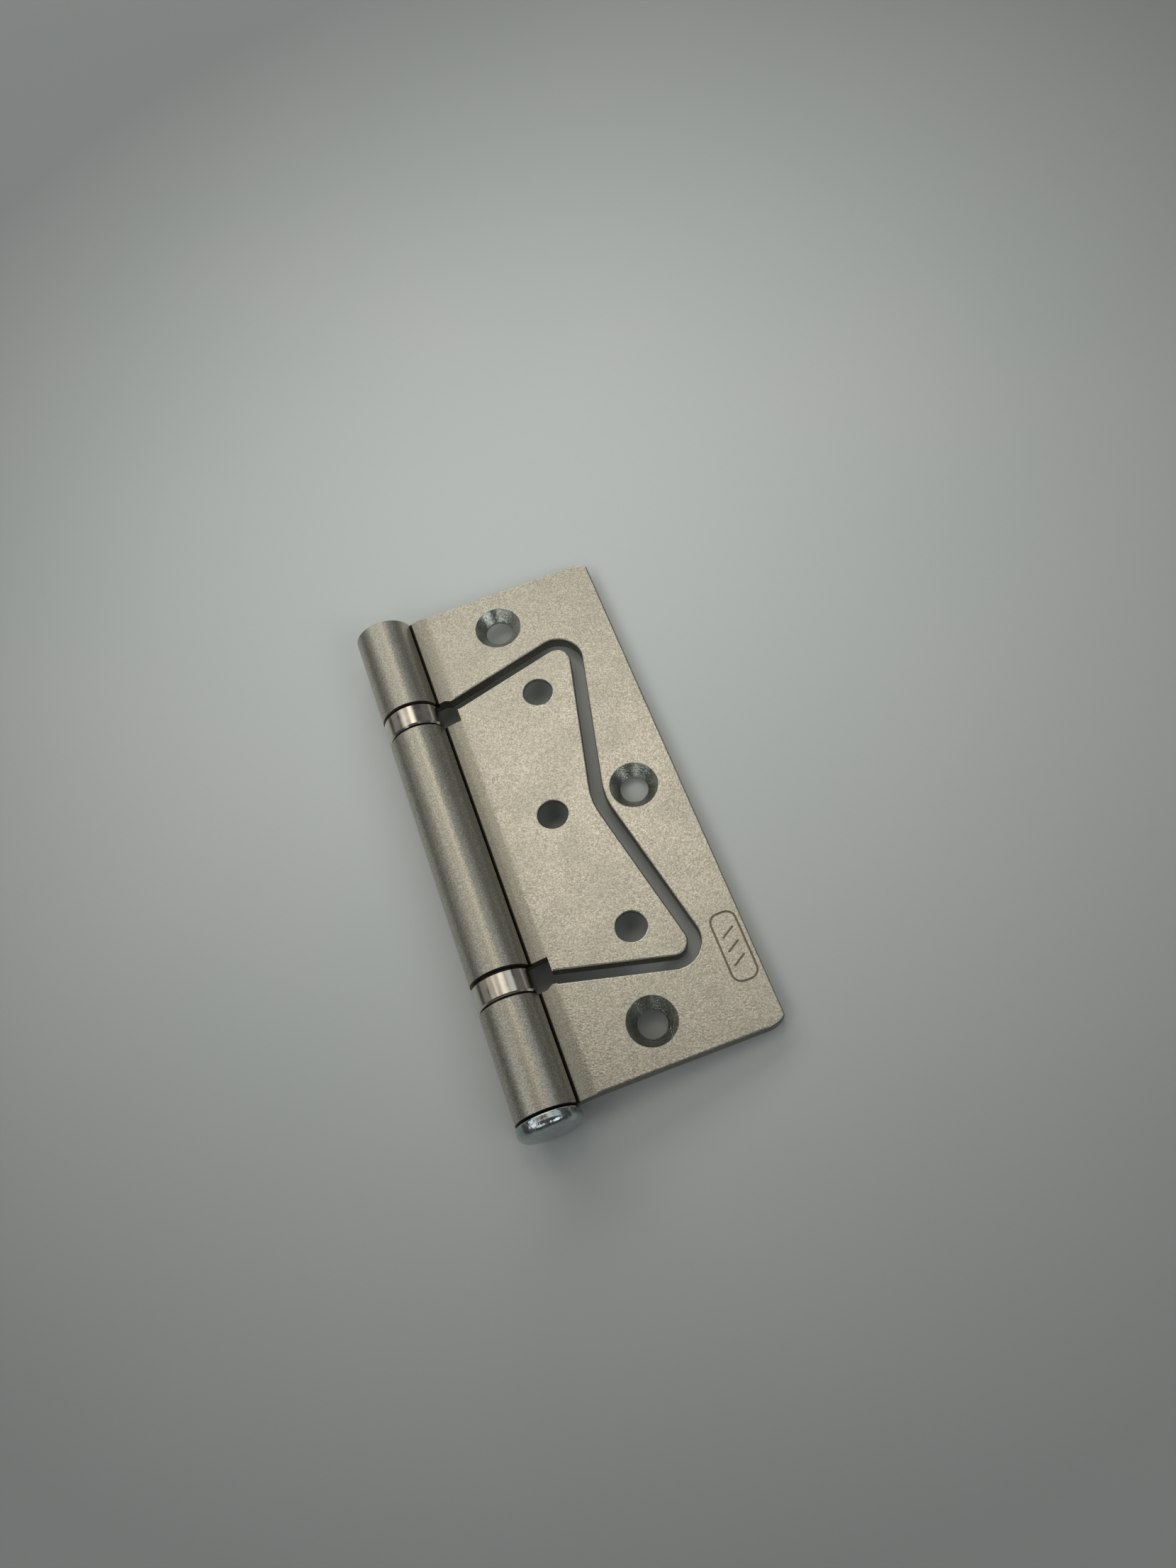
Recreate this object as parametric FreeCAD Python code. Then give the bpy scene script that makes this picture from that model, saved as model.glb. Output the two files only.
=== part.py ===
import FreeCAD, Part
import math
import os
from FreeCAD import Vector

# Flush "butterfly" door hinge, closed: the inner leaf lies nested in the window of the outer leaf.
# The shapes are drawn in pin coordinates: the pin's axis is the Y axis, X runs from the barrel to the
# free edge of the leaves, Z is up, and y = 0 is the middle of the barrel. to_row() then moves each
# finished shape to the row frame, whose origin is the bottom centre of the whole hinge's box.
# All sizes are in millimetres.

# ---- sheet and barrel -------------------------------------------------------------------------
LENGTH = 100.0            # leaf length along the pin
HALF = LENGTH / 2
SHEET = 2.5               # sheet thickness of both leaves
BARREL_R = 5.5            # outside radius of the curled knuckles
BORE_R = BARREL_R - SHEET  # inside radius of the curl
LEAF_TOP = 1.85           # height of the leaf's upper face above the pin axis
LEAF_MID = LEAF_TOP - SHEET / 2
LEAF_BACK = LEAF_TOP - SHEET
JOGGLE_X = 8.2            # where the flat leaf bends down to the barrel
JOGGLE_DEG = 16.0         # slope of the short ramp beside the barrel
JOGGLE_BEND_R = 6.0       # middle radius of the bend at the top of the ramp
JOGGLE_TRIM = JOGGLE_BEND_R * math.tan(math.radians(JOGGLE_DEG) / 2)
FLAT_X = JOGGLE_X + JOGGLE_TRIM  # the leaf is flat from here to its free edge
ROOT_BEND_R = 3.0         # middle radius of the bend from the ramp into the curl
CURL_LIP_DEG = 30.0       # the curl stops rolling this far above the pin axis
CURL_LIP = 1.3            # straight last stretch of the curl
LIP_ROUND = 0.15          # softened corner on the end of the curl

# ---- stations along the pin -------------------------------------------------------------------
OUTER_KNUCKLE_Y = 30.5    # the end knuckles run from here to the leaf's end
INNER_KNUCKLE_Y = 25.0    # the middle knuckle runs from -25 to +25
SLEEVE_Y0 = 25.6          # bearing sleeve, end beside the middle knuckle
SLEEVE_Y1 = 30.0          # bearing sleeve, end beside the end knuckle
BALL_Y = 27.8             # plane of the balls

# ---- outer leaf outline -----------------------------------------------------------------------
OUTER_EDGE_X = 42.6       # free edge of the outer leaf, from the pin axis
CORNER_X = 39.2           # the corner arc starts here on the end edge
CORNER_DROP = 1.2         # and reaches the free edge this far from the end
SLOT = 2.3                # even gap between the two leaves
TIP_R = 2.7               # rounded tips of the inner leaf
WAIST_R = 14.0            # rounded waist of the inner leaf's free edge
EDGE_SLOPE = 0.254        # rise of the slanted end edges, per millimetre of x
FLANK_SLOPE = 0.217       # spread of the free edge from its waist, per millimetre of y
WAIST_X = 26.06           # where the two halves of the free edge would meet
SHOULDER_X = 8.85         # step from the narrow root of the inner leaf to its full width
SHOULDER_Y = 27.66        # half width just past that step
WINDOW_ROOT_X = 7.0       # the window's corner is bevelled from here to JOGGLE_X

# ---- screw holes ------------------------------------------------------------------------------
SINK_R = 4.5              # countersink rim
OUTER_HOLE_R = 2.6
OUTER_HOLES = ((21.7, -42.0), (34.3, 0.0), (21.7, 42.0))
INNER_HOLE_R = 2.8
INNER_HOLES = ((24.3, -25.2), (18.6, 0.0), (24.3, 25.2))

# ---- softened punch-side edges ------------------------------------------------------------------
DIE_ROLL = 0.3            # round on the upper outline of the leaves
HOLE_ROLL = 0.2           # round on the plain mouths of the inner leaf's holes

# ---- engraved frame on the outer leaf ---------------------------------------------------------
FRAME_X = 39.3
FRAME_Y = -34.9
FRAME_WIDE = 4.9
FRAME_LONG = 13.0
FRAME_R = 1.9
GROOVE = 0.38             # groove width
GROOVE_DEEP = 0.15
MARK_BAR = 2.8            # plain slanted bars inside the frame
MARK_STEP = 2.6
MARK_SLANT_DEG = 32.0

# ---- pin --------------------------------------------------------------------------------------
PIN_R = 2.95              # running fit in the middle knuckle
PIN_LAND = 6.0            # length of each press-fit land, where the pin fills the bore
PIN_TAIL_Y = 49.6
PIN_TAIL_CHAMFER = 0.5
HEAD_R = 5.75
HEAD_GAP = 0.5            # collar under the head
COLLAR_R = 4.2
HEAD_THICK = 3.0
HEAD_ROUND = 1.4          # round on the front rim
HEAD_BACK_ROUND = 0.4
HEAD_DOME = 0.45          # rise of the front face

# ---- bearings ---------------------------------------------------------------------------------
SLEEVE_WALL = 0.65
SLEEVE_CHAMFER = 0.3
BALL_R = 0.8
BALL_PITCH_R = 3.9
BALLS = 14
GROOVE_R = 0.85           # race groove, 0.05 clear of the balls
RACE_FACE = 0.35          # race face to ball plane
RACE_BORE_R = 3.05
RACE_LOOSE_R = 4.75       # race that turns inside the sleeve
SLEEVE_BORE_R = BARREL_R - SLEEVE_WALL

# ---- row frame --------------------------------------------------------------------------------
HEAD_FRONT_Y = -HALF - HEAD_GAP - HEAD_THICK
ROW_SHIFT = Vector((HEAD_R - OUTER_EDGE_X) / 2, -(HEAD_FRONT_Y + HALF) / 2, HEAD_R)


def flat(x, y):
    return Vector(x, y, 0)


def rounded_wire(corners):
    """Closed wire in the XY plane through (x, y, radius) corners, each rounded by its radius."""
    starts = []
    edges = []
    count = len(corners)
    for i, (x, y, radius) in enumerate(corners):
        here = flat(x, y)
        back = (flat(*corners[i - 1][:2]) - here).normalize()
        ahead = (flat(*corners[(i + 1) % count][:2]) - here).normalize()
        if radius == 0:
            starts.append((here, here))
            continue
        half_angle = back.getAngle(ahead) / 2
        reach = radius / math.tan(half_angle)
        middle = here + (back + ahead).normalize() * (radius / math.sin(half_angle) - radius)
        arc_start = here + back * reach
        arc_end = here + ahead * reach
        edges.append(Part.Arc(arc_start, middle, arc_end).toShape())
        starts.append((arc_start, arc_end))
    for i in range(count):
        leave = starts[i][1]
        reach_next = starts[(i + 1) % count][0]
        edges.append(Part.LineSegment(leave, reach_next).toShape())
    return Part.Wire(Part.__sortEdges__(edges))


def prism(wire, z_low, z_high):
    """Solid between two heights over a wire drawn at z = 0."""
    face = Part.Face(wire)
    face.translate(Vector(0, 0, z_low))
    return face.extrude(Vector(0, 0, z_high - z_low))


def sheet_path(steps, start, heading_deg):
    """Closed face of a bent sheet in the XZ plane, from straight and arc steps of its middle line.

    A step is (length, 0) for a straight run, or (radius, turn in degrees), left turns positive.
    """
    sides = {1: [], -1: []}
    spot = start
    heading = math.radians(heading_deg)

    def side_point(point, direction, side):
        return point + Vector(-math.sin(direction), 0, math.cos(direction)) * (side * SHEET / 2)

    for size, turn_deg in steps:
        turn = math.radians(turn_deg)
        if turn_deg == 0:
            ahead = spot + Vector(math.cos(heading), 0, math.sin(heading)) * size
            for side in sides:
                ends = (side_point(spot, heading, side), side_point(ahead, heading, side))
                sides[side].append(Part.LineSegment(*ends).toShape())
            spot = ahead
            continue
        inward = math.copysign(1.0, turn)
        centre = spot + Vector(-math.sin(heading), 0, math.cos(heading)) * (inward * size)

        def on_arc(angle):
            return centre + Vector(math.sin(angle), 0, -math.cos(angle)) * (inward * size)

        for side in sides:
            bends = [heading, heading + turn / 2, heading + turn]
            points = [side_point(on_arc(angle), angle, side) for angle in bends]
            sides[side].append(Part.Arc(*points).toShape())
        heading += turn
        spot = on_arc(heading)
    caps = []
    for point, direction in ((start, math.radians(heading_deg)), (spot, heading)):
        ends = (side_point(point, direction, 1), side_point(point, direction, -1))
        caps.append(Part.LineSegment(*ends).toShape())
    wire = Part.Wire(Part.__sortEdges__(sides[1] + sides[-1] + caps))
    return Part.Face(wire)


def leaf_section(edge_x):
    """Section of a leaf across the pin: flat, joggle, root bend, and the curl round the pin."""
    slope = math.radians(JOGGLE_DEG)
    curl_r = BORE_R + SHEET / 2
    # The root bend touches both the ramp and the curl, so its centre is one curl radius and one
    # bend radius from the pin axis, and one bend radius below the ramp's middle line.
    base_x = JOGGLE_X + ROOT_BEND_R * math.sin(slope)
    base_z = LEAF_MID - ROOT_BEND_R * math.cos(slope)
    half_b = base_x * math.cos(slope) + base_z * math.sin(slope)
    spare = base_x ** 2 + base_z ** 2 - (curl_r + ROOT_BEND_R) ** 2
    ramp = half_b - math.sqrt(half_b ** 2 - spare)
    bend_x = base_x - ramp * math.cos(slope)
    bend_z = base_z - ramp * math.sin(slope)
    touch_deg = math.degrees(math.atan2(bend_z, bend_x))
    root_turn = touch_deg + 90.0 - JOGGLE_DEG
    curl_turn = 360.0 + touch_deg - CURL_LIP_DEG
    steps = [
        (edge_x - FLAT_X, 0),
        (JOGGLE_BEND_R, JOGGLE_DEG),
        (ramp - JOGGLE_TRIM, 0),
        (ROOT_BEND_R, root_turn),
        (curl_r, -curl_turn),
        (CURL_LIP, 0),
    ]
    return sheet_path(steps, Vector(edge_x, 0, LEAF_MID), 180.0)


def rolled_leaf(blank):
    """Leaf with its curled barrel: the bent section run along the pin, trimmed to the blank's outline.

    The punch rounds the upper outline of the flat part, and the curl's end has a softened corner.
    """
    section = leaf_section(OUTER_EDGE_X)
    section.translate(Vector(0, -HALF, 0))
    sheet = section.extrude(Vector(0, LENGTH, 0)).common(blank)
    flat_side = Part.makeBox(OUTER_EDGE_X, LENGTH, 4 * BARREL_R, Vector(FLAT_X, -HALF, -2 * BARREL_R))
    plate = soften(sheet.common(flat_side), DIE_ROLL, on_upper_outline)
    root = soften(sheet.cut(flat_side), LIP_ROUND, lip_edge)
    return plate.fuse(root)


def inner_half_outline(grow):
    """Corner points of the inner leaf for y > 0, moved out by grow, from the shoulder to the waist."""
    edge_shift = grow * math.hypot(1, EDGE_SLOPE)
    flank_shift = grow * math.hypot(1, FLANK_SLOPE)

    def edge_y(x):
        return SHOULDER_Y + EDGE_SLOPE * (x - SHOULDER_X) + edge_shift

    waist_x = WAIST_X + flank_shift
    tip_y = (edge_y(waist_x)) / (1 - EDGE_SLOPE * FLANK_SLOPE)
    tip_x = waist_x + FLANK_SLOPE * tip_y
    return edge_y, [(tip_x, tip_y, TIP_R + grow), (waist_x, 0.0, WAIST_R)]


def leaf_outline(root, grow):
    """Whole outline from the root points of one half and the butterfly shape moved out by grow."""
    tip, waist = inner_half_outline(grow)[1]
    half = root + [tip]
    corners = [(x, -y, r) for x, y, r in half]
    corners.append(waist)
    corners += [(x, y, r) for x, y, r in reversed(half)]
    return rounded_wire(corners)


def soften(shape, radius, picked):
    """Round the edges for which picked(edge) is true."""
    edges = [edge for edge in shape.Edges if picked(edge)]
    return shape.makeFillet(radius, edges)


def on_upper_face(edge):
    box = edge.BoundBox
    return abs(box.ZMin - LEAF_TOP) < 0.001 and abs(box.ZMax - LEAF_TOP) < 0.001


def on_upper_outline(edge):
    return on_upper_face(edge) and edge.BoundBox.XMax > FLAT_X + 0.001


def round_edge(edge, radius):
    curve = edge.Curve
    return isinstance(curve, Part.Circle) and abs(curve.Radius - radius) < 0.001


def drilled(shape, holes, hole_r, sink_up):
    """Screw holes with 90 degree countersinks on the upper or the lower face."""
    sink_deep = SINK_R - hole_r
    for x, y in holes:
        hole = Part.makeCylinder(hole_r, 4 * SHEET, Vector(x, y, LEAF_MID - 2 * SHEET))
        if sink_up:
            sink = Part.makeCone(hole_r, SINK_R, sink_deep, Vector(x, y, LEAF_TOP - sink_deep))
        else:
            sink = Part.makeCone(SINK_R, hole_r, sink_deep, Vector(x, y, LEAF_BACK))
        shape = shape.cut(hole.fuse(sink))
    return shape


def frame_groove():
    """Engraved rounded frame with three plain slanted bars inside it."""
    floor_z = LEAF_TOP - GROOVE_DEEP

    def block(half_x, half_y, radius):
        low_x, high_x = FRAME_X - half_x, FRAME_X + half_x
        low_y, high_y = FRAME_Y - half_y, FRAME_Y + half_y
        corners = [(low_x, low_y), (high_x, low_y), (high_x, high_y), (low_x, high_y)]
        wire = rounded_wire([(x, y, radius) for x, y in corners])
        return prism(wire, floor_z, LEAF_TOP + 1)

    rim = block(FRAME_WIDE / 2, FRAME_LONG / 2, FRAME_R)
    inside = block(FRAME_WIDE / 2 - GROOVE, FRAME_LONG / 2 - GROOVE, FRAME_R - GROOVE)
    cutter = rim.cut(inside)
    centre = Vector(FRAME_X, FRAME_Y, floor_z)
    bars = []
    for place in (-1, 0, 1):
        middle = centre + Vector(0, place * MARK_STEP, 0)
        bar = Part.makeBox(MARK_BAR, GROOVE, 1, middle - Vector(MARK_BAR / 2, GROOVE / 2, 0))
        bar.rotate(middle, Vector(0, 0, 1), MARK_SLANT_DEG)
        bars.append(bar)
    return cutter.fuse(bars)


def lip_edge(edge):
    """The long outer corner at the end of a curl."""
    box = edge.BoundBox
    along_pin = box.YLength > 5 and box.XLength < 0.001 and box.ZLength < 0.001
    lip = math.radians(CURL_LIP_DEG)
    lip_x = BARREL_R * math.cos(lip) + CURL_LIP * math.sin(lip)
    lip_z = BARREL_R * math.sin(lip) - CURL_LIP * math.cos(lip)
    return along_pin and abs(box.XMin - lip_x) < 0.01 and abs(box.ZMin - lip_z) < 0.01


def make_outer_leaf():
    """C-shaped leaf round the window, with the two end knuckles."""
    root = [
        (-2 * BARREL_R, OUTER_KNUCKLE_Y, 0),
        (WINDOW_ROOT_X, OUTER_KNUCKLE_Y, 0),
        (JOGGLE_X, inner_half_outline(SLOT)[0](JOGGLE_X), 0),
    ]
    window = leaf_outline(root, SLOT)
    rise_x = OUTER_EDGE_X - CORNER_X
    corner_r = (rise_x ** 2 + CORNER_DROP ** 2) / (2 * CORNER_DROP)
    mid_angle = math.asin(rise_x / corner_r) / 2
    points = []
    for side in (-1, 1):
        on_end = flat(CORNER_X, side * HALF)
        middle = flat(CORNER_X + corner_r * math.sin(mid_angle),
                      side * (HALF - corner_r + corner_r * math.cos(mid_angle)))
        on_edge = flat(OUTER_EDGE_X, side * (HALF - CORNER_DROP))
        points.append((on_end, middle, on_edge))
    lower, upper = points
    far_x = -2 * BARREL_R
    edges = [
        Part.LineSegment(flat(far_x, -HALF), lower[0]).toShape(),
        Part.Arc(*lower).toShape(),
        Part.LineSegment(lower[2], upper[2]).toShape(),
        Part.Arc(*upper).toShape(),
        Part.LineSegment(upper[0], flat(far_x, HALF)).toShape(),
        Part.LineSegment(flat(far_x, HALF), flat(far_x, -HALF)).toShape(),
    ]
    blank = prism(Part.Wire(edges), -2 * BARREL_R, 2 * BARREL_R)
    blank = blank.cut(prism(window, -2 * BARREL_R, 2 * BARREL_R))
    leaf = drilled(rolled_leaf(blank), OUTER_HOLES, OUTER_HOLE_R, True)
    return leaf.cut(frame_groove())


def make_inner_leaf():
    """Butterfly leaf that nests in the window, with the middle knuckle."""
    root = [
        (-2 * BARREL_R, INNER_KNUCKLE_Y, 0),
        (SHOULDER_X, INNER_KNUCKLE_Y, 0),
        (SHOULDER_X, SHOULDER_Y, 0),
    ]
    blank = prism(leaf_outline(root, 0.0), -2 * BARREL_R, 2 * BARREL_R)
    leaf = drilled(rolled_leaf(blank), INNER_HOLES, INNER_HOLE_R, False)
    return soften(leaf, HOLE_ROLL, lambda edge: on_upper_face(edge) and round_edge(edge, INNER_HOLE_R))


def turned(points):
    """Solid of revolution about the pin axis from (radius, y) points; a 3-tuple marks an arc's middle."""
    edges = []
    start = points[0]
    via = None
    for point in points[1:] + [points[0]]:
        if len(point) == 3:
            via = point
            continue
        here, there = flat(*start), flat(*point)
        if via is None:
            edges.append(Part.LineSegment(here, there).toShape())
        else:
            edges.append(Part.Arc(here, flat(via[0], via[1]), there).toShape())
        start = point
        via = None
    face = Part.Face(Part.Wire(edges))
    return face.revolve(Vector(0, 0, 0), Vector(0, 1, 0), 360)


def make_pin():
    """Pin with a rounded head, two press-fit lands and a chamfered tail."""
    eighth = math.sqrt(0.5)
    back_y = -HALF - HEAD_GAP
    rim_y = HEAD_FRONT_Y + HEAD_DOME
    dome_edge = HEAD_R - HEAD_ROUND
    dome_r = (dome_edge ** 2 + HEAD_DOME ** 2) / (2 * HEAD_DOME)
    dome_mid_y = HEAD_FRONT_Y + dome_r - math.sqrt(dome_r ** 2 - (dome_edge / 2) ** 2)
    points = [
        (0, HEAD_FRONT_Y),
        (dome_edge / 2, dome_mid_y, "arc"),
        (dome_edge, rim_y),
        (HEAD_R - HEAD_ROUND * (1 - eighth), rim_y + HEAD_ROUND * (1 - eighth), "arc"),
        (HEAD_R, rim_y + HEAD_ROUND),
        (HEAD_R, back_y - HEAD_BACK_ROUND),
        (HEAD_R - HEAD_BACK_ROUND * (1 - eighth), back_y - HEAD_BACK_ROUND * (1 - eighth), "arc"),
        (HEAD_R - HEAD_BACK_ROUND, back_y),
        (COLLAR_R, back_y),
        (COLLAR_R, -HALF),
        (BORE_R, -HALF),
        (BORE_R, -HALF + PIN_LAND),
        (PIN_R, -HALF + PIN_LAND),
        (PIN_R, PIN_TAIL_Y - PIN_LAND),
        (BORE_R, PIN_TAIL_Y - PIN_LAND),
        (BORE_R, PIN_TAIL_Y - PIN_TAIL_CHAMFER),
        (BORE_R - PIN_TAIL_CHAMFER, PIN_TAIL_Y),
        (0, PIN_TAIL_Y),
    ]
    return turned(points)


def make_sleeve():
    """Plain polished ring that covers one bearing."""
    cut = SLEEVE_CHAMFER
    return turned([
        (SLEEVE_BORE_R, SLEEVE_Y0),
        (BARREL_R - cut, SLEEVE_Y0),
        (BARREL_R, SLEEVE_Y0 + cut),
        (BARREL_R, SLEEVE_Y1 - cut),
        (BARREL_R - cut, SLEEVE_Y1),
        (SLEEVE_BORE_R, SLEEVE_Y1),
    ])


def make_race(end_y, outer_r):
    """Race from a knuckle's end face to just short of the ball plane, with a round ball groove."""
    away = math.copysign(RACE_FACE, end_y - BALL_Y)
    groove_half = math.sqrt(GROOVE_R ** 2 - RACE_FACE ** 2)
    depth = math.copysign(GROOVE_R, away)
    return turned([
        (RACE_BORE_R, end_y),
        (RACE_BORE_R, BALL_Y + away),
        (BALL_PITCH_R - groove_half, BALL_Y + away),
        (BALL_PITCH_R, BALL_Y + depth, "arc"),
        (BALL_PITCH_R + groove_half, BALL_Y + away),
        (outer_r, BALL_Y + away),
        (outer_r, end_y),
    ])


def make_balls():
    """Full complement of balls round the pin, as separate solids."""
    balls = []
    for i in range(BALLS):
        angle = 2 * math.pi * i / BALLS
        centre = Vector(BALL_PITCH_R * math.cos(angle), BALL_Y, BALL_PITCH_R * math.sin(angle))
        balls.append(Part.makeSphere(BALL_R, centre))
    return Part.makeCompound(balls)


def end_for_end(shape):
    """The same piece at the other end of the hinge."""
    return shape.mirror(Vector(0, 0, 0), Vector(0, 1, 0))


def to_row(shape):
    moved = shape.copy()
    moved.translate(ROW_SHIFT)
    return moved


def main():
    nodes = {
        "outer_leaf": make_outer_leaf(),
        "inner_leaf": make_inner_leaf(),
        "hinge_pin": make_pin(),
    }
    bearing = {
        "bearing_sleeve": make_sleeve(),
        "outer_leaf_race": make_race(OUTER_KNUCKLE_Y, SLEEVE_BORE_R),
        "inner_leaf_race": make_race(INNER_KNUCKLE_Y, RACE_LOOSE_R),
        "ball_set": make_balls(),
    }
    for name, shape in bearing.items():
        nodes["upper_" + name] = shape
        nodes["lower_" + name] = end_for_end(shape)
    os.makedirs("parts", exist_ok=True)
    for name, shape in nodes.items():
        placed = to_row(shape)
        placed.exportStep("parts/" + name + ".step")
        box = placed.BoundBox
        print(name, placed.isValid(), len(placed.Solids), "solids", round(placed.Volume, 2), "mm3",
              "x", round(box.XMin, 2), round(box.XMax, 2), "y", round(box.YMin, 2), round(box.YMax, 2),
              "z", round(box.ZMin, 2), round(box.ZMax, 2))


main()
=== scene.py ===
import math

import bpy
from mathutils import Matrix, Vector


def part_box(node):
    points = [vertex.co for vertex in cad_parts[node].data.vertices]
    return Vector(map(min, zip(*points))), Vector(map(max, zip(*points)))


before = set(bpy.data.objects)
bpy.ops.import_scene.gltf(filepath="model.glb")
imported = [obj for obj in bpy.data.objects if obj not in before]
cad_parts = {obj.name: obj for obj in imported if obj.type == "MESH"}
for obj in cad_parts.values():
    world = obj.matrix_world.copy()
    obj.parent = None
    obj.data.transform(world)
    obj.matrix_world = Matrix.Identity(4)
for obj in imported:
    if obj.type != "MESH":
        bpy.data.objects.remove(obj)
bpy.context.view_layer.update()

# Looks of the flush door hinge. Lengths named _MM are millimetres; Blender itself works in metres.
MM = 0.001

# ---- places on the hinge, from the pin's axis, as in the CAD source --------------------------
BARREL_R_MM = 5.5
HEAD_R_MM = 5.75
LEAF_TOP_MM = 1.85
LEAF_BACK_MM = -0.65
OUTER_EDGE_MM = 42.6
CORNER_Y_MM = 48.8
SINK_R_MM = 4.5
OUTER_HOLES_MM = ((21.7, -42.0), (34.3, 0.0), (21.7, 42.0))
INNER_HOLES_MM = ((24.3, -25.2), (18.6, 0.0), (24.3, 25.2))
FRAME_MM = (39.3, -34.9)
FRAME_HALF_MM = (2.5, 6.6)
HEAD_MM = -52.0           # widest ring of the pin's head, along the pin
TAIL_MM = 50.0            # far end of the barrel
COLLAR_FROM_MM = -50.5    # narrow part of the pin between its head and the knuckle
COLLAR_TO_MM = -49.7

# ---- where the look of the plating and its painted shade change, from the pin's axis ----------
LEAF_FROM_MM = 5.7        # sheet beyond this is leaf, nearer the pin it is curl
CORNER_SHADE_TO_MM = 10.6         # painted shade in the corner beside the barrel, out to here
SEAM_FROM_MM = 3.3        # painted shade in the gap between the end of the curl and the leaf
SEAM_TO_MM = 5.95
SEAM_TOP_MM = 1.27
TOOL_MARK_MM = 0.11       # spacing of the turned lines in the countersinks

# ---- painted pool of light on the floor: brightest point, distance over which it fades, least share of full light --
LIGHT_POOL_MM = (33.0, 65.0, 0.0)
LIGHT_POOL_REACH_MM = 232.0
LEAST_POOL_LIGHT = 0.36

# ---- camera -----------------------------------------------------------------------------------
AIM_MM = (26.6, 3.3, 1.85)
CAMERA_DISTANCE_MM = 226.3
CAMERA_AZIMUTH = -8.83
CAMERA_ELEVATION = 63.94
CAMERA_ROLL = 12.2
LENS_MM = 28.41
SENSOR_MM = 36.0

upper_low, upper_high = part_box("upper_bearing_sleeve")
lower_low, lower_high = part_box("lower_bearing_sleeve")
PIN = (upper_low + upper_high + lower_low + lower_high) / 4


def from_pin(x, y, z):
    """Point given in millimetres from the middle of the pin's axis."""
    return PIN + Vector((x, y, z)) * MM


class Nodes:
    """One material's node tree, with a short call for each kind of node used here."""

    def __init__(self, name):
        self.material = bpy.data.materials.new(name)
        self.material.use_nodes = True
        self.tree = self.material.node_tree
        self.shader = self.tree.nodes["Principled BSDF"]
        coordinates = self.add("ShaderNodeTexCoord")
        self.place = coordinates.outputs["Object"]
        self.facing = coordinates.outputs["Normal"]

    def add(self, kind, **settings):
        node = self.tree.nodes.new(kind)
        for key, value in settings.items():
            setattr(node, key, value)
        return node

    def feed(self, socket, value):
        """Link a node's output to the socket, or write a plain number or colour on it."""
        if isinstance(value, bpy.types.NodeSocket):
            self.tree.links.new(value, socket)
        else:
            socket.default_value = value

    def math(self, operation, *values):
        node = self.add("ShaderNodeMath", operation=operation)
        for socket, value in zip(node.inputs, values):
            self.feed(socket, value)
        return node.outputs[0]

    def vector(self, operation, *values):
        node = self.add("ShaderNodeVectorMath", operation=operation)
        for socket, value in zip(node.inputs, values):
            self.feed(socket, value)
        return node.outputs["Value"] if operation == "LENGTH" else node.outputs["Vector"]

    def parts(self, vector):
        node = self.add("ShaderNodeSeparateXYZ")
        self.feed(node.inputs[0], vector)
        return node.outputs

    def step(self, value, low, high, to_low=0.0, to_high=1.0):
        """Smooth step of a value from to_low at low to to_high at high."""
        node = self.add("ShaderNodeMapRange", interpolation_type="SMOOTHSTEP")
        for socket, number in zip(node.inputs, (value, low, high, to_low, to_high)):
            self.feed(socket, number)
        return node.outputs[0]

    def edge(self, value, place_mm, soft_mm, to_low=0.0, to_high=1.0):
        """Soft step in a length, centred on place_mm; a minus soft_mm turns it round."""
        return self.step(value, (place_mm - soft_mm) * MM, (place_mm + soft_mm) * MM, to_low, to_high)

    def product(self, first, *others):
        for other in others:
            first = self.math("MULTIPLY", first, other)
        return first

    def noise(self, size_mm, detail=2.0, stretch=(1.0, 1.0, 1.0), offset=0.0):
        """Noise with features about size_mm across, longer along the axes with a stretch over 1."""
        scaled = self.vector("DIVIDE", self.place, tuple(size_mm * MM * s for s in stretch))
        moved = self.vector("ADD", scaled, (offset, offset, offset))
        node = self.add("ShaderNodeTexNoise", noise_dimensions="3D")
        self.feed(node.inputs["Vector"], moved)
        self.feed(node.inputs["Scale"], 1.0)
        self.feed(node.inputs["Detail"], detail)
        return node.outputs[0]

    def mix(self, factor, first, second):
        node = self.add("ShaderNodeMix", data_type="RGBA")
        self.feed(node.inputs["Factor"], factor)
        self.feed(node.inputs[6], first)
        self.feed(node.inputs[7], second)
        return node.outputs[2]

    def tint(self, value, dark, light, low=0.3, high=0.7):
        """Colour that runs from dark to light as the value goes from low to high."""
        return self.mix(self.step(value, low, high), dark, light)

    def bump(self, height, distance_mm, strength=1.0, under=None):
        node = self.add("ShaderNodeBump")
        self.feed(node.inputs["Strength"], strength)
        self.feed(node.inputs["Distance"], distance_mm * MM)
        self.feed(node.inputs["Height"], height)
        if under is not None:
            self.feed(node.inputs["Normal"], under)
        return node.outputs[0]

    def finish(self, colour, roughness, metallic=1.0, normal=None):
        self.feed(self.shader.inputs["Base Color"], colour)
        self.feed(self.shader.inputs["Roughness"], roughness)
        self.feed(self.shader.inputs["Metallic"], metallic)
        if normal is not None:
            self.feed(self.shader.inputs["Normal"], normal)
        return self.material


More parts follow.
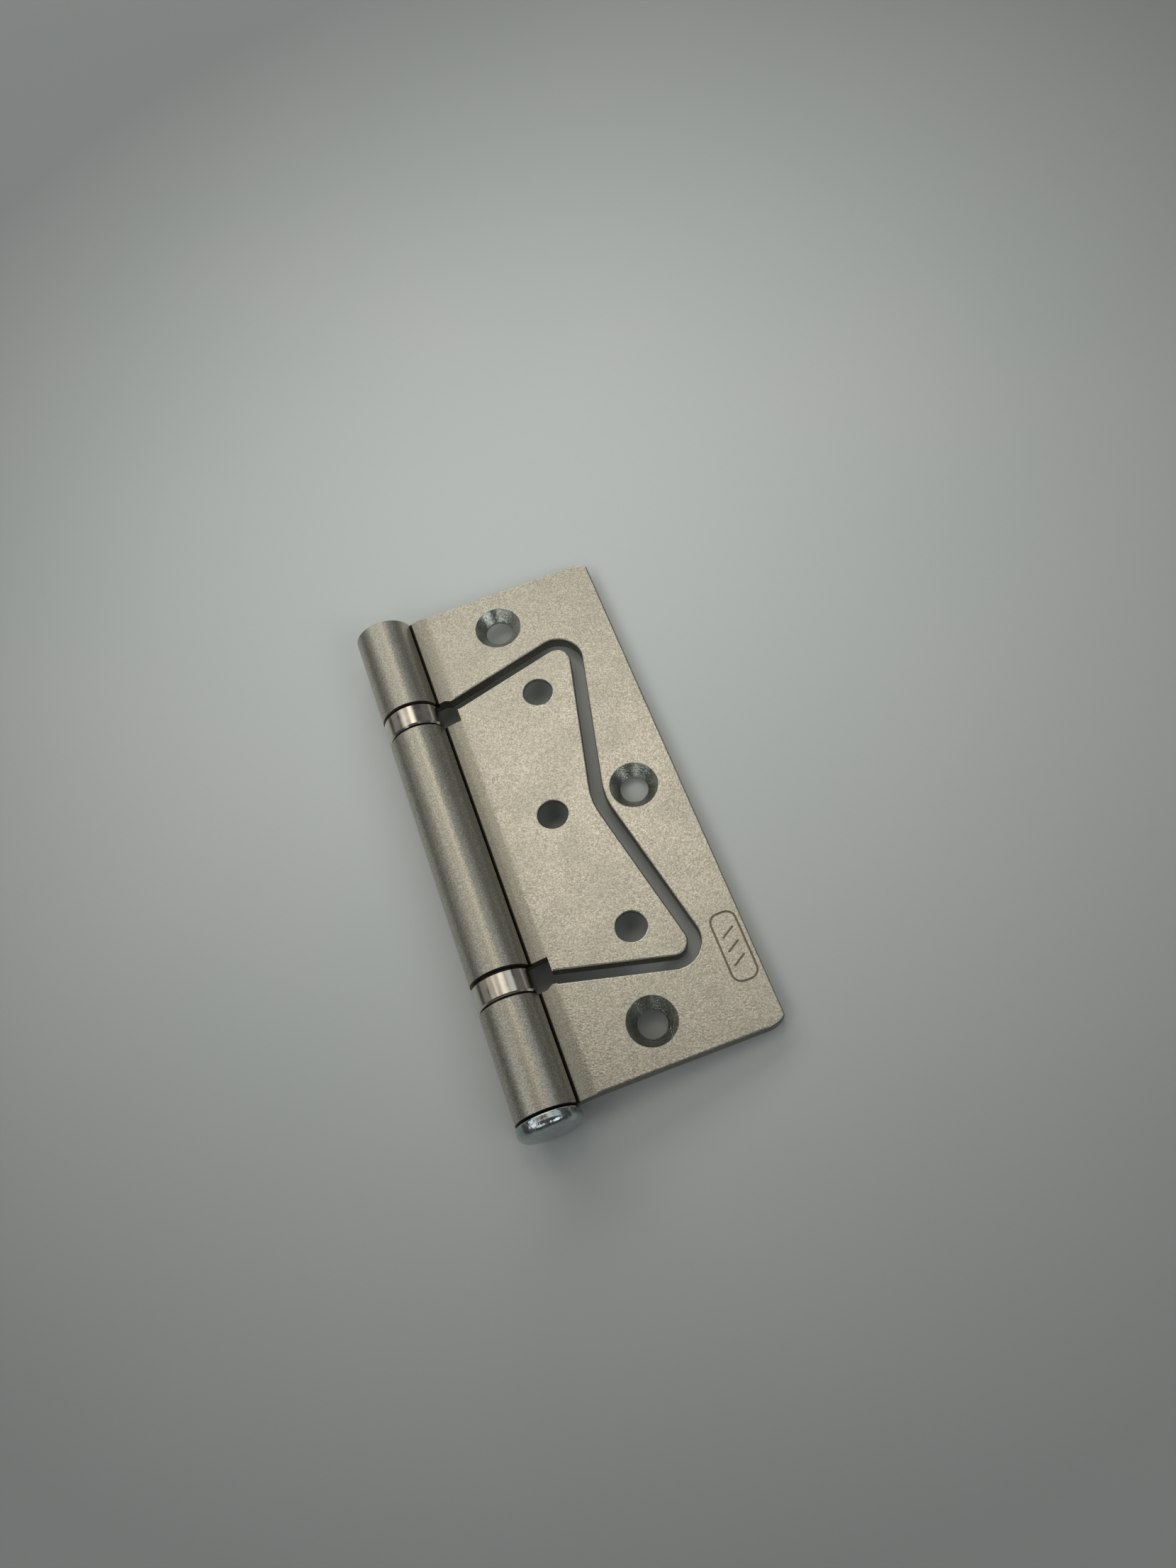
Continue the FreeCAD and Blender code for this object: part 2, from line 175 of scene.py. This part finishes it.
def sink_masks(m, here, z, holes):
    """How far a place is in a countersink or screw hole, from 0 to 1, and its distance from the hole."""
    flat_place = m.vector("MULTIPLY", here, (1, 1, 0))
    sunk = 0.0
    distance = 0.0
    for hole_x, hole_y in holes:
        away = m.vector("LENGTH", m.vector("SUBTRACT", flat_place, (hole_x * MM, hole_y * MM, 0)))
        near = m.edge(away, SINK_R_MM, -0.03)
        sunk = m.math("MAXIMUM", sunk, near)
        distance = m.math("ADD", distance, m.product(near, away))
    above_back = m.edge(z, LEAF_BACK_MM + 0.04, 0.02)
    below_top = m.edge(z, LEAF_TOP_MM - 0.04, -0.02)
    return m.product(sunk, above_back, below_top), distance


def sheared_shade_mask(m, on_leaf):
    """1 on the cut side walls of the leaf and on the ends of the knuckles, which get painted shade and
    more roughness.
    """
    _, facing_y, facing_z = m.parts(m.facing)
    side_on = m.step(m.math("ABSOLUTE", facing_z), 0.8, 0.5)
    at_end = m.step(m.math("ABSOLUTE", facing_y), 0.7, 0.9)
    return m.product(side_on, m.math("MAXIMUM", on_leaf, at_end))


def seam_shade_mask(m, x, z):
    """1 in the gap between the end of a curl and its leaf, where the shade is painted."""
    under_lip = m.edge(z, SEAM_TOP_MM, -0.05)
    above_pin = m.edge(z, 0.05, 0.05)
    return m.product(under_lip, above_pin, m.edge(x, SEAM_TO_MM, -0.1), m.edge(x, SEAM_FROM_MM, 0.1))


def engraving_mask(m, x, y, z):
    """1 below the leaf's upper face, within the engraved frame."""
    off_x = m.math("ABSOLUTE", m.math("SUBTRACT", x, FRAME_MM[0] * MM))
    off_y = m.math("ABSOLUTE", m.math("SUBTRACT", y, FRAME_MM[1] * MM))
    inside = m.product(m.edge(off_x, FRAME_HALF_MM[0] + 0.05, -0.05),
                       m.edge(off_y, FRAME_HALF_MM[1] + 0.05, -0.05))
    deep = m.edge(z, LEAF_TOP_MM - 0.07, -0.05)
    not_back = m.edge(z, LEAF_TOP_MM - 0.4, 0.1)
    return m.product(inside, deep, not_back)


def satin_nickel(name, holes, with_frame):
    """Blasted nickel plate: fine-grained warm grey, machined sinks, dark engraving, and painted shade on
    the edges, in the seam and in the corner beside the barrel.
    """
    m = Nodes(name)
    here = m.vector("SUBTRACT", m.place, tuple(PIN))
    x, y, z = m.parts(here)
    grain = m.noise(0.36, 3.0)
    speckle = m.noise(0.25, 3.0, offset=31.0)
    pits = m.noise(0.17, 1.0, offset=7.0)
    cloud = m.noise(9.0, 3.0, offset=3.0)
    smear = m.noise(2.2, 3.0, (1.0, 2.5, 1.0), offset=11.0)
    sandy = m.noise(5.0, 2.0, offset=23.0)
    patches = m.noise(0.4, 3.0, offset=27.0)
    chatter = m.noise(0.5, 2.0, offset=19.0)
    sunk, distance = sink_masks(m, here, z, holes)
    on_leaf = m.edge(x, LEAF_FROM_MM, 0.1)
    sheared_shade_and_roughness = sheared_shade_mask(m, on_leaf)

    colour = m.tint(speckle, (0.36, 0.34, 0.29, 1), (0.63, 0.60, 0.52, 1), 0.34, 0.66)
    colour = m.mix(m.step(cloud, 0.35, 0.7, 0.0, 0.15), colour, (0.47, 0.455, 0.38, 1))
    colour = m.mix(m.step(smear, 0.5, 0.75, 0.0, 0.06), colour, (0.58, 0.54, 0.47, 1))
    colour = m.mix(m.step(pits, 0.66, 0.76, 0.0, 0.12), colour, (0.32, 0.30, 0.25, 1))
    # Painted shade on the side walls of the leaf and on the ends of the knuckles, patchy.
    edge_shade_share = m.step(patches, 0.35, 0.65, 0.55, 0.8)
    colour = m.mix(m.product(sheared_shade_and_roughness, edge_shade_share), colour, (0.15, 0.14, 0.115, 1))
    # Painted shade in the corner beside the barrel, strongest next to the curl.
    corner_shade = m.product(on_leaf, m.step(x, CORNER_SHADE_TO_MM * MM, LEAF_FROM_MM * MM))
    colour = m.mix(m.product(corner_shade, 0.55), colour, (0.20, 0.185, 0.15, 1))
    # Painted shade: near black in the gap between the end of the curl and the leaf.
    colour = m.mix(seam_shade_mask(m, x, z), colour, (0.03, 0.028, 0.025, 1))
    cone = m.tint(chatter, (0.40, 0.415, 0.365, 1), (0.57, 0.57, 0.505, 1))
    colour = m.mix(sunk, colour, cone)
    if with_frame:
        colour = m.mix(engraving_mask(m, x, y, z), colour, (0.17, 0.15, 0.12, 1))

    # The barrel is smoother in relief than the leaf, but duller.
    rough = m.math("ADD", m.step(grain, 0.3, 0.7, 0.25, 0.33), m.step(cloud, 0.35, 0.7, 0.0, 0.03))
    rough = m.math("ADD", rough, m.edge(x, BARREL_R_MM + 0.15, 0.45, 0.06, 0.0))
    rough = m.math("ADD", rough, m.product(sheared_shade_and_roughness, 0.18))
    rough = m.math("ADD", m.product(rough, m.math("SUBTRACT", 1.0, sunk)), m.product(sunk, 0.18))

    height = m.math("ADD", grain, m.product(pits, -0.2))
    relief = m.step(sandy, 0.38, 0.66, 0.020, 0.036)
    relief = m.product(relief, m.edge(x, BARREL_R_MM + 0.15, 0.45, 0.35, 1.0))
    relief = m.math("ADD", relief, m.product(sunk, 0.03))
    fine = m.bump(m.product(height, relief), 1.0)
    rings = m.math("SINE", m.product(distance, 2 * math.pi / (TOOL_MARK_MM * MM)))
    ringed = m.bump(m.product(rings, sunk, 0.5), 0.004, under=fine)
    return m.finish(colour, rough, 1.0, ringed)


def polished_nickel():
    """Turned and polished ring: near mirror, with fine tool lines round it and faint haze."""
    m = Nodes("polished_nickel_ring")
    lines = m.noise(0.09, 2.0, (60.0, 1.0, 60.0))
    haze = m.noise(1.6, 3.0, offset=5.0)
    colour = m.tint(haze, (0.62, 0.58, 0.51, 1), (0.74, 0.70, 0.63, 1))
    rough = m.step(haze, 0.3, 0.7, 0.13, 0.20)
    return m.finish(colour, rough, 1.0, m.bump(lines, 0.003, 0.6))


def zinc_plate():
    """Bright zinc over a lumpy blank, passivated from teal to violet grey, with painted shade on the
    narrow neck under the head.
    """
    m = Nodes("blue_zinc_pin")
    drift = m.noise(1.6, 3.0)
    lumps = m.noise(1.1, 2.0, (1.0, 1.6, 1.0), offset=15.0)
    spots = m.noise(0.25, 2.0, offset=9.0)
    colour = m.tint(drift, (0.38, 0.46, 0.45, 1), (0.56, 0.56, 0.59, 1))
    colour = m.mix(m.step(spots, 0.55, 0.75, 0.0, 0.35), colour, (0.44, 0.46, 0.43, 1))
    along = m.parts(m.vector("SUBTRACT", m.place, tuple(PIN)))[1]
    past_head = m.edge(along, COLLAR_FROM_MM - 0.025, 0.075)
    collar_shade = m.product(past_head, m.edge(along, COLLAR_TO_MM, -0.2))
    # Painted shade: near black on the narrow neck between the pin's head and the knuckle.
    colour = m.mix(collar_shade, colour, (0.03, 0.03, 0.03, 1))
    rough = m.step(drift, 0.3, 0.7, 0.10, 0.22)
    return m.finish(colour, rough, 1.0, m.bump(spots, 0.012, 0.7, m.bump(lumps, 0.10)))


def bearing_race():
    """Ground, oiled steel, darker than the plating."""
    m = Nodes("oiled_race_steel")
    lines = m.noise(0.12, 2.0, (40.0, 1.0, 40.0))
    film = m.noise(1.2, 3.0, offset=4.0)
    colour = m.tint(film, (0.02, 0.019, 0.017, 1), (0.05, 0.046, 0.042, 1))
    return m.finish(colour, m.step(film, 0.3, 0.7, 0.42, 0.55), 1.0, m.bump(lines, 0.004, 0.8))


def bearing_ball():
    """Polished chrome steel under a thin smear of grease."""
    m = Nodes("polished_ball_steel")
    smear = m.noise(0.8, 3.0)
    colour = m.tint(smear, (0.48, 0.47, 0.44, 1), (0.66, 0.66, 0.67, 1))
    return m.finish(colour, m.step(smear, 0.3, 0.7, 0.06, 0.26), 1.0, m.bump(smear, 0.004, 0.5))


def pale_floor():
    """Matt off-white sheet with a painted pool of light, brightest past the far end of the hinge, and
    painted shade softly darker away from there.
    """
    m = Nodes("pale_floor")
    cloud = m.noise(90.0, 2.0)
    fibre = m.noise(0.8, 3.0, offset=2.0)
    colour = m.tint(cloud, (0.87, 0.895, 0.87, 1), (0.90, 0.91, 0.89, 1))
    colour = m.mix(m.step(fibre, 0.3, 0.7, 0.0, 0.03), colour, (0.72, 0.73, 0.72, 1))
    flat_place = m.vector("MULTIPLY", m.place, (1, 1, 0))
    # Painted light: a pool of light on the floor, darkening away from its brightest point.
    pool_centre = from_pin(*LIGHT_POOL_MM)
    away = m.vector("LENGTH", m.vector("SUBTRACT", flat_place, (pool_centre.x, pool_centre.y, 0)))
    reach = m.math("DIVIDE", away, LIGHT_POOL_REACH_MM * MM)
    pool_falloff = m.math("POWER", m.math("ADD", m.product(reach, reach), 1.0), -2.0)
    pool_light = m.math("MAXIMUM", pool_falloff, LEAST_POOL_LIGHT)
    colour = m.mix(pool_light, (0, 0, 0, 1), colour)
    return m.finish(colour, 0.6, 0.0, m.bump(fibre, 0.01, 0.3))


def dress(node, material):
    """Give a CAD node its material, in every slot it has."""
    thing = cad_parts[node]
    for place in thing.material_slots:
        place.material = material


dress("outer_leaf", satin_nickel("satin_nickel_outer", OUTER_HOLES_MM, True))
dress("inner_leaf", satin_nickel("satin_nickel_inner", INNER_HOLES_MM, False))
dress("hinge_pin", zinc_plate())
ring = polished_nickel()
race = bearing_race()
ball = bearing_ball()
for end in ("upper", "lower"):
    dress(end + "_bearing_sleeve", ring)
    dress(end + "_outer_leaf_race", race)
    dress(end + "_inner_leaf_race", race)
    dress(end + "_ball_set", ball)

# ---- floor: the hinge rests on its pin head, the far end of its barrel and the free edge ------
FLOOR_HALF = 3.0          # metres


def floor_normal():
    """Unit normal of the plane under the three supports, and its distance from the pin's middle in mm."""
    lean_y = (BARREL_R_MM - HEAD_R_MM) / (TAIL_MM - HEAD_MM)
    drop = BARREL_R_MM - TAIL_MM * lean_y
    lean_x = 0.0
    for _ in range(20):
        up = math.sqrt(1 - lean_x ** 2 - lean_y ** 2)
        lean_x = -(drop + CORNER_Y_MM * lean_y + LEAF_BACK_MM * up) / OUTER_EDGE_MM
    return Vector((lean_x, lean_y, up)), drop


def make_floor():
    normal, drop = floor_normal()
    ahead = normal.cross(Vector((1, 0, 0))).normalized()
    side = ahead.cross(normal).normalized()
    middle = PIN - normal * drop * MM
    ways = ((-1, -1), (1, -1), (1, 1), (-1, 1))
    corners = [middle + (side * a + ahead * b) * FLOOR_HALF for a, b in ways]
    mesh = bpy.data.meshes.new("floor")
    mesh.from_pydata(corners, [], [(0, 1, 2, 3)])
    floor = bpy.data.objects.new("floor", mesh)
    bpy.context.scene.collection.objects.link(floor)
    mesh.materials.append(pale_floor())


make_floor()

# ---- lights: softboxes round the hinge, all at one distance -----------------------------------
WARM = (1.0, 0.945, 0.84)
COOL = (0.93, 1.0, 1.01)
# Name: azimuth from +Y towards +X and elevation in degrees, width and height, brightness, colour.
LIGHTS = {
    "far_window": (-5, 26, 2.6, 0.7, 2.4, COOL),
    "ceiling": (-12, 57, 1.6, 1.15, 0.54, WARM),
    "ceiling_front": (32, 73, 0.95, 0.6, 0.8, WARM),
    "key": (7, 61, 0.5, 0.45, 1.05, WARM),
    "left_ceiling": (-52, 51, 1.0, 0.9, 0.42, WARM),
    "left_panel": (262, 42, 1.2, 0.9, 1.2, COOL),
    "left_horizon": (-63, 20, 0.9, 0.9, 0.17, WARM),
    "right_horizon": (63, 20, 0.9, 0.9, 0.07, WARM),
    "near_left_panel": (215, 38, 1.0, 0.8, 0.9, COOL),
    "near_right_panel": (145, 42, 1.0, 0.8, 1.7, COOL),
    "right_panel": (110, 42, 1.0, 0.9, 0.25, COOL),
    "right_ceiling": (70, 52, 0.8, 0.8, 0.65, COOL),
}
LIGHT_DISTANCE = 2.0
LIT_POINT_MM = (24.0, 0.0, 0.0)
WORLD_COLOUR = (0.98, 1.0, 0.985, 1)
WORLD_STRENGTH = 0.07


def make_light(name, azimuth, elevation, width, height, brightness, colour):
    light = bpy.data.lights.new(name, "AREA")
    light.shape = "RECTANGLE"
    light.size = width
    light.size_y = height
    light.energy = brightness * math.pi * width * height
    light.color = colour
    lamp = bpy.data.objects.new(name, light)
    bpy.context.scene.collection.objects.link(lamp)
    level = math.cos(math.radians(elevation))
    away = Vector((math.sin(math.radians(azimuth)) * level, math.cos(math.radians(azimuth)) * level,
                   math.sin(math.radians(elevation))))
    lamp.location = from_pin(*LIT_POINT_MM) + away * LIGHT_DISTANCE
    lamp.rotation_euler = (-away).to_track_quat("-Z", "Y").to_euler()


for name, settings in LIGHTS.items():
    make_light(name, *settings)

world = bpy.data.worlds.new("studio")
bpy.context.scene.world = world
world.use_nodes = True
sky = world.node_tree.nodes["Background"]
sky.inputs["Color"].default_value = WORLD_COLOUR
sky.inputs["Strength"].default_value = WORLD_STRENGTH


def make_camera():
    azimuth = math.radians(CAMERA_AZIMUTH)
    elevation = math.radians(CAMERA_ELEVATION)
    roll = math.radians(CAMERA_ROLL)
    back = Vector((math.sin(azimuth) * math.cos(elevation), -math.cos(azimuth) * math.cos(elevation),
                   math.sin(elevation)))
    level = Vector((math.cos(azimuth), math.sin(azimuth), 0))
    above = back.cross(level)
    right = level * math.cos(roll) - above * math.sin(roll)
    up = back.cross(right)
    camera = bpy.data.objects.new("camera", bpy.data.cameras.new("camera"))
    camera.data.sensor_width = SENSOR_MM
    camera.data.lens = LENS_MM
    camera.data.clip_start = 0.005
    place = from_pin(*AIM_MM) + back * CAMERA_DISTANCE_MM * MM
    turn = Matrix((right, up, back)).transposed().to_4x4()
    camera.matrix_world = Matrix.Translation(place) @ turn
    bpy.context.scene.collection.objects.link(camera)
    bpy.context.scene.camera = camera


make_camera()
bpy.context.scene.view_settings.view_transform = "Standard"
